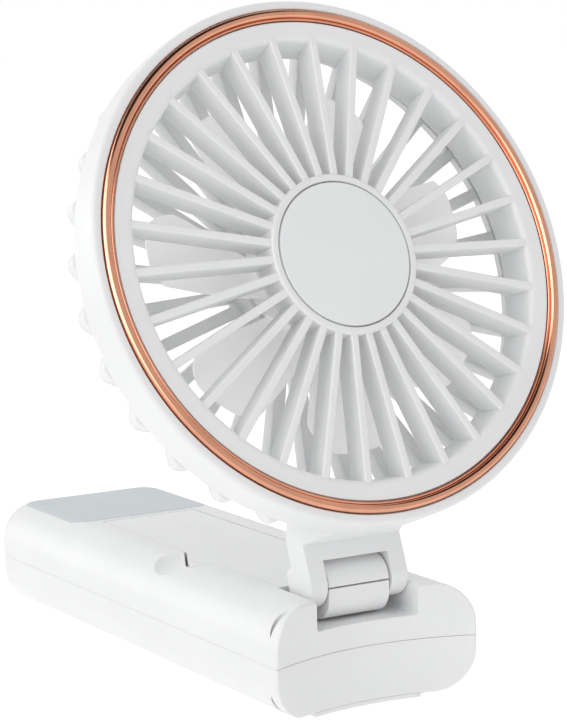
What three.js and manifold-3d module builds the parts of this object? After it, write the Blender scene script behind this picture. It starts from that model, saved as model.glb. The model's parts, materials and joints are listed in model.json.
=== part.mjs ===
// A folding handheld fan, standing on the flat front of its handle, in millimetres with +Z up.
// The handle lies along Y with its hinge at the -Y end, and the head leans back above the hinge.
import * as THREE from "three";
import { mergeVertices } from "three/addons/utils/BufferGeometryUtils.js";
import Module from "manifold-3d";

const wasm = await Module();
wasm.setup();

// Handle: one rounded bar, split level into a front shell below and a back shell above.
const HANDLE = { width: 45.6, far: 66, bottom: 0.7, top: 22.5, corner: 8.5, farCorner: 10, farEdge: 6 };
const WALL = 1.8;
const SPLIT = 11.7;
const SPLIT_GAP = 0.3;
const CLEARANCE = 0.25;
const BEYOND = 100; // further out than any part of the handle

// Hinge: its axis is parallel to X; the head turns about it from folded flat to straight.
const HINGE = { y: -48.05, z: 23.4 };
const LEAN = THREE.MathUtils.degToRad(21.36);
const AXIS_BEHIND = 22.56;
const AXIS_BELOW = 58.39;
const KNUCKLE = { radius: 4.7, drop: 1.9, halfWidth: 6.85, seam: 0.3 };
const EAR = { radius: 5.16, below: 4.2, inside: 7.35, outside: 11 };
const PIN_RADIUS = 1.5;
const RECESS = { halfWidth: 11.5, floor: 16.46, back: -42.4, wall: 1.6 };

// Head: depths are measured backwards from the plane of the trim ring.
const RIM = { radius: 51.6, depth: 7.4, wall: 1.6, mouth: 43.4, throat: 42, throatDepth: 6.8 };
const TRIM = { inside: 47.3, outside: 49.9, seat: 1, clearance: 0.2 };
const NEST_GAP = 0.45;
const SPOKES = { count: 30, width: 1.6, hubFront: -1.4, hubBack: 4.4, rimFront: 0.25, rimBack: 5.6 };
const HUB = { radius: 15.8, lip: 1.4, front: -1.7, seat: -0.6, back: 5 };
const CAP = { radius: 14.1, front: -1.85 };
const HOUSING = { front: 7.7, flange: 1.2, back: 12.6, inside: 46.6, outside: 48.9, reach: 51.2, flangeInside: 43.2 };
const NECK = { front: 17.4, back: 23.2, under: -51.1, underRim: -50.3, top: -44.6, narrow: 7.5 };
const RIBS = { count: 30, width: 2.4, hook: 50.8, hookFront: 9.5, start: 12.9, back: 15.8, hubBack: 21 };
const MOTOR = { radius: 11.9, front: 9.2, back: 18.2, cup: 14.4, cupInside: 12.2, cupFront: 13.9, cupBack: 21.6 };
const SHAFT = { radius: 1, front: 7.2, back: 17.6 };
const MOTOR_SCREWS = [
  ["motor_screw_left", -6],
  ["motor_screw_right", 6],
];
const VENTS = { count: 6, first: 51, arc: 28, front: 14.6, back: 17.6 };
const FAN = { blades: 7, tip: 36, hub: 13.6, front: 6.2, back: 13.2, span: 29, first: 153, thickness: 1.1 };

// Battery: one 18650 cell with a raised end, under a door in the back shell.
const CELL = { radius: 9.2, length: 65, near: -37.2, nub: 1.4, z: 11.85 };
const BAY = { halfWidth: 9.7, near: -41, far: 31, wall: 1.5 };
const DOOR = { halfWidth: 11.2, near: -41.9, far: 31.5, under: 21.2 };
const TAB = { far: -5.4, out: 16.4, tip: -16, near: -17.6 };
const SCOOP = { x: -16.4, y: -10.2, across: 6, along: 5.4, deep: 2.5, tilt: -0.42, above: 0.75 };
const LABEL = { halfWidth: 16.8, near: 33.3, far: 61.3, corner: 4 };

// Controls and sockets.
const PANEL = { halfWidth: 12.4, far: 50, top: 1, corner: 4 };
const BUTTON = { x: 0, y: -46.9, radius: 4.3, flange: 5, face: 0.15, top: 3.4 };
const BOARD_THICKNESS = 1.2;
const USB = { width: 8.94, height: 3.2, depth: 7.4, z: 7.8, mouth: 64.4, wall: 0.3 };
const SWITCH_BOARD = { half: 5.8, near: -52, far: -43, z: 6.4 };
const CHARGE_BOARD = { half: 9, near: 40.7, far: 63.2, top: USB.z - USB.height / 2 - 0.02 };
const LANYARD = { x: -20.1, y: -56.3, halfLength: 2.1, sagitta: 1.3 };
const SHELL_SCREWS = [
  [-9.6, -49.6],
  [9.6, -49.6],
  [-13, 51],
  [13, 51],
];
const HINGE_SCREWS = [
  ["hinge_screw_left", -4],
  ["hinge_screw_right", 4],
];
const HINGE_SCREW_Y = -44.9;

// Flat steps in each curved piece of an outline.
const CURVE_STEPS = 6;

const PLASTIC = { color: 0xf2f2f4, roughness: 0.45, metalness: 0 };
const SOFT_GREY = { color: 0xd9dbdf, roughness: 0.5, metalness: 0 };
const BLADE_PLASTIC = { color: 0xe9ecec, roughness: 0.35, metalness: 0 };
const COPPER = { color: 0xc98a63, roughness: 0.2, metalness: 1 };
const STEEL = { color: 0xb8bcc0, roughness: 0.35, metalness: 1 };
const MOTOR_STEEL = { color: 0x3c3e42, roughness: 0.4, metalness: 1 };
const BOARD_GREEN = { color: 0x2f6b46, roughness: 0.6, metalness: 0 };
const DARK = { color: 0x2a2b2e, roughness: 0.6, metalness: 0 };
const LABEL_BLUE = { color: 0xcbd4dc, roughness: 0.5, metalness: 0 };
const CELL_WRAP = { color: 0x3f7f9e, roughness: 0.4, metalness: 0 };

// A three.js geometry as a closed solid that can be joined and cut.
function solid(geometry) {
  const bare = geometry.clone();
  bare.deleteAttribute("normal");
  bare.deleteAttribute("uv");
  const merged = mergeVertices(bare, 1e-4);
  const corners = [];
  for (let i = 0; i < merged.index.count; i += 3) {
    const [a, b, c] = [0, 1, 2].map((k) => merged.index.getX(i + k));
    if (a !== b && b !== c && c !== a) corners.push(a, b, c);
  }
  const made = new wasm.Manifold(
    new wasm.Mesh({
      numProp: 3,
      vertProperties: merged.attributes.position.array,
      triVerts: new Uint32Array(corners),
    }),
  );
  if (made.volume() > 0) return made;
  return solid(merged.setIndex(corners.reverse()));
}

const union = (first, ...rest) => rest.reduce((whole, piece) => whole.add(piece), first);
const cut = (first, ...rest) => rest.reduce((whole, piece) => whole.subtract(piece), first);
const common = (first, ...rest) => rest.reduce((whole, piece) => whole.intersect(piece), first);

function box(x0, x1, y0, y1, z0, z1) {
  const block = new THREE.BoxGeometry(x1 - x0, y1 - y0, z1 - z0);
  return solid(block.translate((x0 + x1) / 2, (y0 + y1) / 2, (z0 + z1) / 2));
}

// Round bars along each axis.
function barAlongZ(x, y, radius, z0, z1, segments = 24) {
  const bar = new THREE.CylinderGeometry(radius, radius, z1 - z0, segments);
  return solid(bar.rotateX(Math.PI / 2).translate(x, y, (z0 + z1) / 2));
}

function barAlongY(x, z, radius, y0, y1, segments = 24) {
  const bar = new THREE.CylinderGeometry(radius, radius, y1 - y0, segments);
  return solid(bar.translate(x, (y0 + y1) / 2, z));
}

function barAlongX(y, z, radius, x0, x1, segments = 24) {
  const bar = new THREE.CylinderGeometry(radius, radius, x1 - x0, segments);
  return solid(bar.rotateZ(Math.PI / 2).translate((x0 + x1) / 2, y, z));
}

// Outlines given in a plane and pushed out square to it.
function extruded(outline, depth, curveSegments = CURVE_STEPS) {
  return new THREE.ExtrudeGeometry(outline, { depth, bevelEnabled: false, curveSegments });
}

const planAlongZ = (outline, z0, z1) => solid(extruded(outline, z1 - z0).translate(0, 0, z0));
const sectionAlongY = (outline, y0, y1) => solid(extruded(outline, y1 - y0).rotateX(Math.PI / 2).translate(0, y1, 0));

function profileAlongX(outline, x0, x1) {
  const turn = new THREE.Matrix4().makeBasis(
    new THREE.Vector3(0, 1, 0),
    new THREE.Vector3(0, 0, 1),
    new THREE.Vector3(1, 0, 0),
  );
  return solid(extruded(outline, x1 - x0).applyMatrix4(turn).translate(x0, 0, 0));
}

// A closed outline of [radius, depth] pairs, revolved about the depth axis.
function revolved(pairs, segments = 60) {
  const points = pairs.map(([radius, depth]) => new THREE.Vector2(radius, depth));
  if (points[0].x > 0) points.push(points[0].clone());
  return solid(new THREE.LatheGeometry(points, segments));
}

// Turns a geometry lying along +X to the given angle about the depth axis.
const spun = (geometry, degrees) => geometry.clone().rotateY(-THREE.MathUtils.degToRad(degrees));

const polygon = (pairs) => new THREE.Shape(pairs.map(([a, b]) => new THREE.Vector2(a, b)));

function roundedRectangle(a0, a1, b0, b1, radius) {
  const shape = new THREE.Shape();
  shape.absarc(a1 - radius, b0 + radius, radius, -Math.PI / 2, 0, false);
  shape.absarc(a1 - radius, b1 - radius, radius, 0, Math.PI / 2, false);
  shape.absarc(a0 + radius, b1 - radius, radius, Math.PI / 2, Math.PI, false);
  shape.absarc(a0 + radius, b0 + radius, radius, Math.PI, 1.5 * Math.PI, false);
  return shape;
}

// The near end is hollowed to the rim's own circle, so the straight head nests in it.
function handlePlan(inset) {
  const half = HANDLE.width / 2 - inset;
  const far = HANDLE.far - inset;
  const corner = HANDLE.farCorner - inset;
  const nest = RIM.radius + NEST_GAP + inset;
  const reach = Math.asin(half / nest);
  const shape = new THREE.Shape();
  shape.absarc(0, HINGE.y - AXIS_BELOW, nest, Math.PI / 2 - reach, Math.PI / 2 + reach, false);
  shape.absarc(corner - half, far - corner, corner, Math.PI, Math.PI / 2, true);
  shape.absarc(half - corner, far - corner, corner, Math.PI / 2, 0, true);
  return shape;
}

function handleBar(inset) {
  const half = HANDLE.width / 2 - inset;
  const far = HANDLE.far - inset;
  const low = HANDLE.bottom + inset;
  const high = HANDLE.top - inset;
  const section = roundedRectangle(-half, half, low, high, HANDLE.corner - inset);
  const profile = roundedRectangle(-BEYOND, far, low, high, HANDLE.farEdge - inset);
  return common(
    planAlongZ(handlePlan(inset), low - 1, high + 1),
    sectionAlongY(section, -BEYOND, BEYOND),
    profileAlongX(profile, -half - 1, half + 1),
  );
}

// A strap slot with one straight side, cut down through the corner.
function lanyardSlot() {
  const { x, y, halfLength, sagitta } = LANYARD;
  const radius = (halfLength ** 2 + sagitta ** 2) / (2 * sagitta);
  const reach = Math.asin(halfLength / radius);
  const shape = new THREE.Shape();
  shape.absarc(x, y + sagitta - radius, radius, Math.PI / 2 - reach, Math.PI / 2 + reach, false);
  return planAlongZ(shape, HANDLE.bottom - 1, HANDLE.top + 1);
}

function lanyardGuard() {
  const { x, y, halfLength, sagitta } = LANYARD;
  return box(x - halfLength - 3, x + halfLength + 1.4, y - 2.4, y + sagitta + 1.4, HANDLE.bottom, HANDLE.top);
}

const frontHalf = () => box(-40, 40, -80, 80, -5, SPLIT - SPLIT_GAP / 2);
const backHalf = () => box(-40, 40, -80, 80, SPLIT + SPLIT_GAP / 2, 40);

// The raised panel keeps the hollow end's curve and stops short of the far end.
function panelPlan(inset) {
  const half = PANEL.halfWidth - inset;
  const nest = RIM.radius + NEST_GAP + inset;
  const reach = Math.asin(half / nest);
  const corner = PANEL.corner - inset;
  const far = PANEL.far - inset;
  const shape = new THREE.Shape();
  shape.absarc(0, HINGE.y - AXIS_BELOW, nest, Math.PI / 2 - reach, Math.PI / 2 + reach, false);
  shape.absarc(corner - half, far - corner, corner, Math.PI, Math.PI / 2, true);
  shape.absarc(half - corner, far - corner, corner, Math.PI / 2, 0, true);
  return shape;
}

function usbHole(spare) {
  const half = USB.width / 2 + spare;
  const tall = USB.height / 2 + spare;
  const outline = roundedRectangle(-half, half, USB.z - tall, USB.z + tall, tall - 0.01);
  return sectionAlongY(outline, USB.mouth - USB.depth, BEYOND);
}

function frontShell() {
  const bosses = SHELL_SCREWS.map(([x, y]) => barAlongZ(x, y, 3.3, HANDLE.bottom + 0.5, SPLIT - SPLIT_GAP / 2));
  const holes = SHELL_SCREWS.map(([x, y]) => barAlongZ(x, y, 1.25, -1, SPLIT + 1));
  const counterbores = SHELL_SCREWS.map(([x, y]) => barAlongZ(x, y, 2.35, -1, 2.6));
  return cut(
    union(
      common(cut(handleBar(0), handleBar(WALL)), frontHalf()),
      common(union(...bosses), handleBar(0.5)),
      common(lanyardGuard(), handleBar(0), frontHalf()),
    ),
    planAlongZ(panelPlan(-0.01), -1, PANEL.top + 0.05),
    barAlongZ(BUTTON.x, BUTTON.y, BUTTON.radius + 0.3, -1, 5, 40),
    ...holes,
    ...counterbores,
    usbHole(0.35),
    lanyardSlot(),
  );
}

// The door has a slanted tab on one long side, beside the finger scoop.
function doorPlan(grow) {
  const half = DOOR.halfWidth + grow;
  return polygon([
    [half, DOOR.near - grow],
    [half, DOOR.far + grow],
    [-half, DOOR.far + grow],
    [-half, TAB.far + grow / 4],
    [-TAB.out - grow, TAB.tip + grow / 4],
    [-TAB.out - grow, TAB.tip - 0.6 - grow],
    [-half, TAB.near - grow],
    [-half, DOOR.near - grow],
  ]);
}

// A shallow dish for a fingertip, beside the door's tab.
function fingerScoop() {
  const { x, y, across, along, deep, tilt, above } = SCOOP;
  const dish = new THREE.SphereGeometry(1, 24, 16).scale(across, along, deep);
  return solid(dish.rotateY(tilt).translate(x, y, HANDLE.top + above));
}

// Walls that stand around the cell and the hinge recess, inside the back shell.
function bayWalls() {
  const out = BAY.halfWidth + BAY.wall;
  const low = 3;
  const block = box(-out, out, BAY.near, BAY.far + BAY.wall, low, HANDLE.top - WALL + 0.1);
  const hollow = box(-BAY.halfWidth, BAY.halfWidth, BAY.near - 1, BAY.far, low - 1, HANDLE.top);
  const ledge = box(-DOOR.halfWidth - 2, DOOR.halfWidth + 2, BAY.near, DOOR.far + 2, 19.2, DOOR.under - 0.05);
  const tab = box(-HANDLE.width / 2, -out, TAB.near - 2, TAB.far + 2, 17, HANDLE.top - 1);
  return common(cut(union(block, ledge, tab), hollow), handleBar(0.4));
}

function recessTub() {
  const out = RECESS.halfWidth + RECESS.wall;
  const tub = box(-out, out, -60, BAY.near, RECESS.floor - RECESS.wall, HANDLE.top);
  const skirt = box(-out, out, RECESS.back, BAY.near, SPLIT + 0.5, RECESS.floor);
  return common(union(tub, skirt), handleBar(0));
}

function recessHollow() {
  return box(-RECESS.halfWidth, RECESS.halfWidth, -70, RECESS.back, RECESS.floor, HANDLE.top + 1);
}

function backShell() {
  const floors = [RECESS.floor - 0.5, RECESS.floor - 0.5, 21.4, 21.4];
  const lugs = SHELL_SCREWS.map(([x, y], i) => barAlongZ(x, y, 2.4, SPLIT + SPLIT_GAP / 2, floors[i]));
  const holes = SHELL_SCREWS.map(([x, y], i) => barAlongZ(x, y, 1.1, SPLIT - 1, floors[i] - 0.7));
  const hingeHoles = HINGE_SCREWS.map(([, x]) => barAlongZ(x, HINGE_SCREW_Y, 1.1, 12, 20));
  const walls = cut(handleBar(0), handleBar(WALL));
  return cut(
    common(
      union(walls, bayWalls(), recessTub(), common(union(...lugs), handleBar(0.4)), common(lanyardGuard(), handleBar(0))),
      backHalf(),
    ),
    recessHollow(),
    planAlongZ(doorPlan(CLEARANCE), DOOR.under - 0.05, HANDLE.top + 1),
    box(-BAY.halfWidth, BAY.halfWidth, BAY.near, BAY.far, 10, HANDLE.top + 1),
    fingerScoop(),
    ...holes,
    ...hingeHoles,
    lanyardSlot(),
  );
}

function batteryDoor() {
  return common(handleBar(0), planAlongZ(doorPlan(0), DOOR.under, HANDLE.top + 1));
}

function frontPanel() {
  return cut(
    planAlongZ(panelPlan(0.15), 0, PANEL.top),
    barAlongZ(BUTTON.x, BUTTON.y, BUTTON.radius + 0.3, -1, 5, 40),
  );
}

function powerButton() {
  const { x, y, radius, flange, face, top } = BUTTON;
  return union(
    barAlongZ(x, y, radius, face, top, 40),
    barAlongZ(x, y, flange, top - 0.7, top, 40),
  );
}

function switchBoard() {
  const { half, near, far, z } = SWITCH_BOARD;
  return box(-half, half, near, far, z, z + BOARD_THICKNESS);
}

function tactSwitch() {
  const top = SWITCH_BOARD.z;
  const body = box(BUTTON.x - 2.3, BUTTON.x + 2.3, BUTTON.y - 2.3, BUTTON.y + 2.3, top - 1.7, top);
  return union(body, barAlongZ(BUTTON.x, BUTTON.y, 1.2, top - 2.2, top - 1.5));
}

function chargeBoard() {
  const { half, near, far, top } = CHARGE_BOARD;
  return box(-half, half, near, far, top - BOARD_THICKNESS, top);
}

function usbPort() {
  const start = USB.mouth - USB.depth;
  const shellOutline = (spare) => {
    const half = USB.width / 2 - spare;
    const tall = USB.height / 2 - spare;
    return roundedRectangle(-half, half, USB.z - tall, USB.z + tall, tall - 0.01);
  };
  const shell = sectionAlongY(shellOutline(0), start, USB.mouth);
  const hollow = sectionAlongY(shellOutline(USB.wall), start + 1, USB.mouth + 1);
  return union(cut(shell, hollow), box(-3.3, 3.3, start + 0.5, USB.mouth - 1.2, USB.z - 0.35, USB.z + 0.35));
}

function batteryCell() {
  const end = CELL.near + CELL.length;
  const can = [
    [0, CELL.near],
    [CELL.radius - 0.4, CELL.near],
    [CELL.radius, CELL.near + 0.4],
    [CELL.radius, end - 0.4],
    [CELL.radius - 0.4, end],
    [2.9, end],
    [2.9, end + CELL.nub],
    [0, end + CELL.nub],
  ];
  return revolved(can, 36).translate([0, 0, CELL.z]);
}

// A bent strip that presses on the flat end of the cell.
function springContact() {
  const near = BAY.near + 0.3;
  const strip = polygon([
    [near, CELL.z - 6],
    [near + 0.4, CELL.z - 6],
    [near + 0.4, CELL.z + 3],
    [CELL.near - 0.6, CELL.z],
    [CELL.near - 0.6, CELL.z - 3],
    [CELL.near - 0.1, CELL.z - 3],
    [CELL.near - 0.1, CELL.z + 0.4],
    [near + 0.6, CELL.z + 4.6],
    [near, CELL.z + 4.6],
  ]);
  return profileAlongX(strip, -3.5, 3.5);
}

function plateContact() {
  const end = CELL.near + CELL.length + CELL.nub;
  return box(-4, 4, end + 0.1, end + 0.7, CELL.z - 6, CELL.z + 4);
}

// A sticker that follows the back of the handle between the door and the far end.
function specLabel() {
  const { halfWidth, near, far, corner } = LABEL;
  const outline = roundedRectangle(-halfWidth, halfWidth, near, far, corner);
  return common(cut(handleBar(-0.2), handleBar(-0.05)), planAlongZ(outline, 18, HANDLE.top + 2));
}

// Self-tapping screws, head down.
function screw(x, y, headZ, tipZ, headRadius, shankRadius) {
  const head = barAlongZ(x, y, headRadius, headZ, headZ + 1.2, 20);
  const shank = barAlongZ(x, y, shankRadius, headZ + 1, tipZ, 16);
  const drive = union(
    box(x - headRadius * 0.6, x + headRadius * 0.6, y - 0.2, y + 0.2, headZ - 1, headZ + 0.6),
    box(x - 0.2, x + 0.2, y - headRadius * 0.6, y + headRadius * 0.6, headZ - 1, headZ + 0.6),
  );
  return cut(union(head, shank), drive);
}

// Hinge parts fixed to the handle. The knuckle is a slot shape: two equal circles, one above the other.
function knuckleOutline(radius) {
  const shape = new THREE.Shape();
  shape.absarc(HINGE.y, HINGE.z, radius, 0, Math.PI, false);
  shape.absarc(HINGE.y, HINGE.z - KNUCKLE.drop, radius, Math.PI, 2 * Math.PI, false);
  return shape;
}

function knuckle() {
  const whole = profileAlongX(knuckleOutline(KNUCKLE.radius), -KNUCKLE.halfWidth, KNUCKLE.halfWidth);
  return cut(whole, barAlongX(HINGE.y, HINGE.z, PIN_RADIUS + 0.15, -20, 20));
}

function hingeBlock() {
  const foot = box(-KNUCKLE.halfWidth, KNUCKLE.halfWidth, HINGE.y + 1, RECESS.back - 0.1, RECESS.floor + 0.05, 22.2);
  const seam = box(-9, 9, -60, HINGE.y + 12, HINGE.z, 40);
  const bores = HINGE_SCREWS.map(([, x]) => barAlongZ(x, HINGE_SCREW_Y, 1.1, 16, 20));
  const pinBore = barAlongX(HINGE.y, HINGE.z, PIN_RADIUS + 0.15, -20, 20);
  return cut(union(knuckle(), foot), seam, pinBore, ...bores);
}

function hingeBlockCap() {
  return common(knuckle(), box(-9, 9, -60, -36, HINGE.z + KNUCKLE.seam, 40));
}

const hingePin = () => barAlongX(HINGE.y, HINGE.z, PIN_RADIUS, -10, 10);

function frictionWasher(side) {
  const inner = KNUCKLE.halfWidth + 0.05;
  const outer = EAR.inside - 0.05;
  const [x0, x1] = side < 0 ? [-outer, -inner] : [inner, outer];
  return cut(barAlongX(HINGE.y, HINGE.z, 3.6, x0, x1, 32), barAlongX(HINGE.y, HINGE.z, PIN_RADIUS + 0.2, -20, 20));
}

// Head parts, in the head's own frame: X across, Y the depth behind the trim ring, Z up the head.
function rimBody() {
  const { radius, depth, wall, mouth, throat, throatDepth } = RIM;
  const seatIn = TRIM.inside - TRIM.clearance;
  const seatOut = TRIM.outside + TRIM.clearance;
  return revolved([
    [throat, throatDepth],
    [mouth, 1.1],
    [mouth + 0.4, 0.4],
    [mouth + 1.2, 0.05],
    [seatIn, 0],
    [seatIn, TRIM.seat],
    [seatOut, TRIM.seat],
    [seatOut, 0],
    [radius - 0.9, 0],
    [radius - 0.25, 0.35],
    [radius, 1],
    [radius, depth],
    [radius - wall, depth],
    [radius - wall, 2.6],
    [mouth + wall, 2.6],
    [throat + wall, throatDepth],
  ]);
}

function spokeGeometry() {
  const { width, hubFront, hubBack, rimFront, rimBack } = SPOKES;
  const side = polygon([
    [HUB.radius - 0.8, hubFront],
    [RIM.mouth + 1.2, rimFront],
    [RIM.mouth, rimBack],
    [HUB.radius - 0.8, hubBack],
  ]);
  return extruded(side, width).translate(0, 0, -width / 2);
}

function frontHub() {
  const { radius, lip, front, seat, back } = HUB;
  return revolved(
    [
      [0, seat],
      [radius - lip, seat],
      [radius - lip, front],
      [radius - 0.4, front],
      [radius, front + 0.4],
      [radius, back],
      [radius - lip, back],
      [radius - lip, seat + 1.6],
      [0, seat + 1.6],
    ],
    36,
  );
}

function frontGrille() {
  const spoke = spokeGeometry();
  const step = 360 / SPOKES.count;
  const spokes = Array.from({ length: SPOKES.count }, (_, i) => solid(spun(spoke, i * step)));
  return union(rimBody(), frontHub(), ...spokes);
}

// Two polished bands with a step between them.
function trimRing() {
  const { inside, outside, seat } = TRIM;
  return revolved([
    [inside, seat - 0.1],
    [inside, 0],
    [inside + 0.3, -0.15],
    [inside + 0.75, -0.15],
    [inside + 0.95, -0.02],
    [inside + 1.2, -0.3],
    [outside - 0.5, -0.35],
    [outside, 0],
    [outside, seat - 0.1],
  ]);
}

function hubCap() {
  const { radius, front } = CAP;
  return revolved(
    [
      [0, front],
      [radius - 0.25, front],
      [radius, front + 0.25],
      [radius, HUB.seat - 0.1],
      [0, HUB.seat - 0.1],
    ],
    36,
  );
}

// The neck's side view: under the rim, down the front, round the hinge axis and up the back.
function neckProfile() {
  const back = Math.acos((NECK.back - AXIS_BEHIND) / EAR.radius);
  const shape = new THREE.Shape();
  shape.moveTo(HOUSING.front + 1, NECK.top);
  shape.lineTo(HOUSING.front + 1, NECK.underRim);
  shape.lineTo(NECK.front, NECK.under);
  shape.absellipse(AXIS_BEHIND, -AXIS_BELOW, EAR.radius, EAR.below, Math.PI, 2 * Math.PI + back, false);
  shape.lineTo(NECK.back, NECK.under + 2);
  shape.lineTo(NECK.back - 1.6, NECK.top - 1.4);
  shape.lineTo(HOUSING.back, NECK.top);
  return shape;
}

function neckPlan() {
  const half = EAR.outside;
  const rearCorner = 2.8;
  const rear = AXIS_BEHIND + EAR.radius;
  const shape = new THREE.Shape();
  shape.moveTo(-NECK.narrow, HOUSING.front + 1);
  shape.lineTo(NECK.narrow, HOUSING.front + 1);
  shape.lineTo(half, NECK.front);
  shape.absarc(half - rearCorner, rear - rearCorner, rearCorner, 0, Math.PI / 2, false);
  shape.absarc(rearCorner - half, rear - rearCorner, rearCorner, Math.PI / 2, Math.PI, false);
  shape.lineTo(-half, NECK.front);
  return shape;
}

// The slot between the ears clears the knuckle in every position of the head.
function knuckleSlot() {
  const radius = KNUCKLE.radius + 0.35;
  const shape = new THREE.Shape();
  shape.moveTo(AXIS_BEHIND - 12, -AXIS_BELOW - 12);
  shape.lineTo(AXIS_BEHIND + 12, -AXIS_BELOW - 12);
  shape.lineTo(AXIS_BEHIND + 12, -AXIS_BELOW);
  shape.absarc(AXIS_BEHIND + KNUCKLE.drop, -AXIS_BELOW, radius, 0, Math.PI / 2, false);
  shape.absarc(AXIS_BEHIND - KNUCKLE.drop, -AXIS_BELOW, radius, Math.PI / 2, Math.PI, false);
  shape.lineTo(AXIS_BEHIND - 12, -AXIS_BELOW);
  return profileAlongX(shape, -EAR.inside, EAR.inside);
}

function rearHousing() {
  const { front, flange, back, inside, outside, reach, flangeInside } = HOUSING;
  const ring = revolved([
    [flangeInside, front],
    [reach, front],
    [reach, front + flange],
    [outside, front + flange],
    [outside, back],
    [inside, back],
    [inside, front + flange],
    [flangeInside, front + flange],
  ]);
  const neck = common(
    profileAlongX(neckProfile(), -EAR.outside, EAR.outside),
    planAlongZ(neckPlan(), -80, NECK.top + 1),
  );
  const air = barAlongY(0, 0, inside - 0.5, front, 40, 60);
  const bore = barAlongX(AXIS_BEHIND, -AXIS_BELOW, PIN_RADIUS + 0.15, -10.15, 10.15);
  return cut(union(ring, cut(neck, air)), knuckleSlot(), bore);
}

// One rib: out along the back of the head and hooked forward over the rear edge of the housing.
function ribSide() {
  const { hook, hookFront, start, back, hubBack } = RIBS;
  const clear = HOUSING.outside + 0.3;
  const inner = MOTOR.cup - 0.7;
  const shape = new THREE.Shape();
  shape.moveTo(inner, hubBack - 3.6);
  shape.lineTo(HOUSING.inside - 1, start - 1);
  shape.lineTo(HOUSING.inside - 0.4, start);
  shape.lineTo(clear, start);
  shape.lineTo(clear, hookFront);
  shape.quadraticCurveTo(hook, hookFront, hook, hookFront + 1.6);
  shape.lineTo(hook, start + 0.6);
  shape.quadraticCurveTo(hook, back, hook - 3, back);
  shape.lineTo(inner, hubBack);
  return shape;
}

function ribAngles() {
  const step = 360 / RIBS.count;
  return Array.from({ length: RIBS.count }, (_, i) => (i + 0.5) * step);
}

// Ribs behind the neck stop at the housing instead of hooking over it.
const behindNeck = (degrees) => Math.abs(degrees - 270) < 15;

function motorCup() {
  const { cup, cupInside, cupFront, cupBack, back } = MOTOR;
  const shell = revolved(
    [
      [0, back + 1.9],
      [cupInside, back + 1.9],
      [cupInside, cupFront],
      [cup, cupFront],
      [cup, cupBack - 1],
      [cup - 1, cupBack],
      [0, cupBack],
    ],
    48,
  );
  const half = Math.tan(THREE.MathUtils.degToRad(VENTS.arc / 2)) * cup;
  const slot = new THREE.BoxGeometry(6, VENTS.back - VENTS.front, 2 * half);
  slot.translate(cup - 1, (VENTS.front + VENTS.back) / 2, 0);
  const slots = Array.from({ length: VENTS.count }, (_, i) => solid(spun(slot, VENTS.first + i * 60)));
  return cut(shell, ...slots);
}

function rearGrille() {
  const { width, start } = RIBS;
  const rib = solid(extruded(ribSide(), width, 3).translate(0, 0, -width / 2));
  const hook = box(HOUSING.outside + 0.2, 60, 0, start, -5, 5);
  const ribs = ribAngles().map((angle) => {
    const whole = behindNeck(angle) ? cut(rib, hook) : rib;
    return whole.rotate([0, -angle, 0]);
  });
  const ringInside = HOUSING.inside - 0.6;
  const ring = revolved([
    [ringInside, start],
    [HOUSING.outside - 0.2, start],
    [HOUSING.outside - 1, start + 1.6],
    [ringInside, start + 1.6],
  ]);
  const screwHoles = MOTOR_SCREWS.map(([, x]) => barAlongY(x, 0, 1.1, 10, 30));
  const heads = MOTOR_SCREWS.map(([, x]) => barAlongY(x, 0, 2, MOTOR.cupBack - 0.7, 30));
  const neckRoom = cut(
    box(-EAR.outside - 1.3, EAR.outside + 1.3, 0, 40, -80, -40),
    barAlongY(0, 0, ringInside - 0.2, 0, 40, 60),
  );
  return cut(union(motorCup(), ring, ...ribs), neckRoom, ...screwHoles, ...heads);
}

function motorCan() {
  const { radius, front, back } = MOTOR;
  const can = revolved(
    [
      [0, front],
      [radius - 0.8, front],
      [radius, front + 0.8],
      [radius, back],
      [0, back],
    ],
    48,
  );
  return cut(can, barAlongY(0, 0, SHAFT.radius + 0.25, 0, SHAFT.back + 0.3));
}

// The insulating cap that closes the back of the motor.
function motorEndCap() {
  const { radius, back } = MOTOR;
  const screwHoles = MOTOR_SCREWS.map(([, x]) => barAlongY(x, 0, 0.8, back + 1, 30));
  return cut(barAlongY(0, 0, radius - 0.3, back, back + 1.8, 48), ...screwHoles);
}

function motorScrew(x) {
  const head = barAlongY(x, 0, 1.7, MOTOR.cupBack - 0.6, MOTOR.cupBack + 0.3, 20);
  const shank = barAlongY(x, 0, 0.7, MOTOR.back + 1.2, MOTOR.cupBack, 16);
  return cut(union(head, shank), box(x - 1.1, x + 1.1, MOTOR.cupBack - 0.1, 30, -0.2, 0.2));
}

// A blade is a flat slab bent onto a ramp: u runs along the chord, v out from the hub, w through it.
function bladeGeometry() {
  const slab = new THREE.BoxGeometry(1, 1, 1, 6, 5, 1);
  const at = slab.attributes.position;
  for (let i = 0; i < at.count; i += 1) {
    const u = at.getX(i) + 0.5;
    const v = at.getY(i) + 0.5;
    const w = at.getZ(i);
    const leadingRound = 1 - 0.16 * Math.max(0, 1 - u / 0.45) ** 2.5;
    const trailingRound = 1 - 0.05 * Math.max(0, (u - 0.7) / 0.3) ** 2;
    const reach = FAN.tip * leadingRound * trailingRound;
    const radius = FAN.hub - 0.8 + (reach - FAN.hub + 0.8) * v;
    const sweep = 10 * (1 - v) ** 2;
    const angle = THREE.MathUtils.degToRad(FAN.first + sweep + FAN.span * u * (1.35 - 0.35 * v));
    const rise = 4.9 - 0.2 * v;
    const depth = FAN.front + 1 + rise * (1 - u) + FAN.thickness * (0.5 + w * (1.5 - 0.6 * v));
    at.setXYZ(i, radius * Math.cos(angle), depth, radius * Math.sin(angle));
  }
  return slab;
}

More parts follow.
